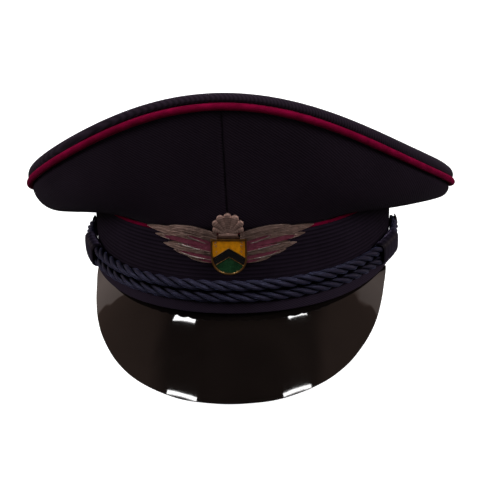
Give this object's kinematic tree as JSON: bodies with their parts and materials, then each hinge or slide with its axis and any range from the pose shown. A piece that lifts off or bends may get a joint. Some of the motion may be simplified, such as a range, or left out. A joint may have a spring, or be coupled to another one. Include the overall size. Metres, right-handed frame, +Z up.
{
  "type": "peaked cap",
  "caption": "Stiff-fronted peaked cap with a wired saddle crown, ribbed band, gloss visor, twisted chin cord on side buttons and a winged shield badge.",
  "frame": {"origin": "centre of the head opening, in the plane of the band's lower rim (mount head_opening)", "axes": "+X to the wearer's left as seen from the front (the viewer's right), +Y towards the back of the cap, +Z up with the cap standing level on its visor edge and rear rim; the head opening's own axis leans 8.45 degrees back from +Z"},
  "size_m": [0.2366, 0.2651, 0.1439],
  "materials": {
    "crown_cloth": "fine wool twill, near-black navy",
    "band_cloth": "cross-ribbed band cloth, near-black navy",
    "piping_felt": "felted burgundy piping",
    "fibre_board": "buff fibre board",
    "interlining": "dark felt interlining",
    "spring_steel": "spring steel wire",
    "lining_satin": "dark satin lining",
    "clear_film": "clear film",
    "sweat_leather": "brown sweatband leather",
    "patent": "black patent lacquer",
    "visor_underside": "matt dark underside",
    "cord_rayon": "silky twisted rayon cord",
    "cord_braid": "smooth braided sleeve",
    "button_metal": "dark painted metal",
    "pewter": "antique pewter tone, worn",
    "gilt": "old gilt",
    "plum_enamel": "dull plum enamel",
    "yellow_enamel": "yellow enamel",
    "green_enamel": "dark green enamel",
    "dark_enamel": "near-black enamel"
  },
  "bodies": {
    "cap": {"crown_top_panel": "crown_cloth", "crown_quarter_front_left": "crown_cloth", "crown_quarter_front_right": "crown_cloth", "crown_quarter_rear_left": "crown_cloth", "crown_quarter_rear_right": "crown_cloth", "upper_piping": "piping_felt", "lower_piping": "piping_felt", "cap_band": "band_cloth", "band_lower_welt": "crown_cloth", "band_stiffener": "fibre_board", "crown_top_interlining": "interlining", "crown_front_stay": "fibre_board", "crown_wire_hoop": "spring_steel", "lining_top": "lining_satin", "lining_side_left": "lining_satin", "lining_side_right": "lining_satin", "sweat_shield": "clear_film", "sweatband": "sweat_leather", "sweatband_reed": "sweat_leather", "visor_shell": "patent", "visor_underlay": "visor_underside", "visor_edge_bead": "patent", "visor_flange": "fibre_board", "badge_wing_left": "pewter", "badge_wing_right": "pewter", "badge_wing_enamel_left": "plum_enamel", "badge_wing_enamel_right": "plum_enamel", "badge_shield_rim": "gilt", "badge_shield_field": "yellow_enamel", "badge_shield_base": "green_enamel", "badge_shield_chevron": "dark_enamel", "badge_finial": "pewter", "badge_back_plate": "pewter", "badge_post_left": "pewter", "badge_post_right": "pewter", "badge_nut_left": "gilt", "badge_nut_right": "gilt"},
    "cord_ends": {"cord_eye_left": "cord_rayon", "cord_eye_right": "cord_rayon"},
    "chin_cord": {"chin_cord_lower": "cord_rayon", "chin_cord_upper": "cord_rayon"},
    "slider_left": {"cord_slider_left": "cord_braid"},
    "slider_right": {"cord_slider_right": "cord_braid"},
    "button_left": {"side_button_left": "button_metal", "button_shank_left": "button_metal", "button_washer_left": "button_metal"},
    "button_right": {"side_button_right": "button_metal", "button_shank_right": "button_metal", "button_washer_right": "button_metal"}
  },
  "joints": [
    {"name": "chin_cord_swing", "type": "hinge", "parent": "cap", "child": "cord_ends", "pos_m": [0, -0.00274, 0.01557], "axis": [1, 0, 0], "range_deg": [0, 22]},
    {"name": "chin_cord_lengthen", "type": "slide", "parent": "cord_ends", "child": "chin_cord", "axis": [0, -0.9891, 0.1469], "range_m": [0, 0.0529]},
    {"name": "slider_left_travel", "type": "hinge", "parent": "chin_cord", "child": "slider_left", "pos_m": [0.04, 0.00187, 0.01261], "axis": [0, 0.1469, 0.9891], "range_deg": [0, 13.5]},
    {"name": "slider_right_travel", "type": "hinge", "parent": "chin_cord", "child": "slider_right", "pos_m": [-0.04, 0.00187, 0.01261], "axis": [0, -0.1469, -0.9891], "range_deg": [0, 13.5]},
    {"name": "button_left_turn", "type": "hinge", "parent": "cap", "child": "button_left", "pos_m": [-0.084, -0.00274, 0.01557], "axis": [-1, 0, 0], "continuous": true},
    {"name": "button_right_turn", "type": "hinge", "parent": "cap", "child": "button_right", "pos_m": [0.084, -0.00274, 0.01557], "axis": [1, 0, 0], "continuous": true}
  ],
  "couplings": [
    {"joint": "chin_cord_lengthen", "follows": "chin_cord_swing", "m_per_rad": 0.1375}
  ]
}
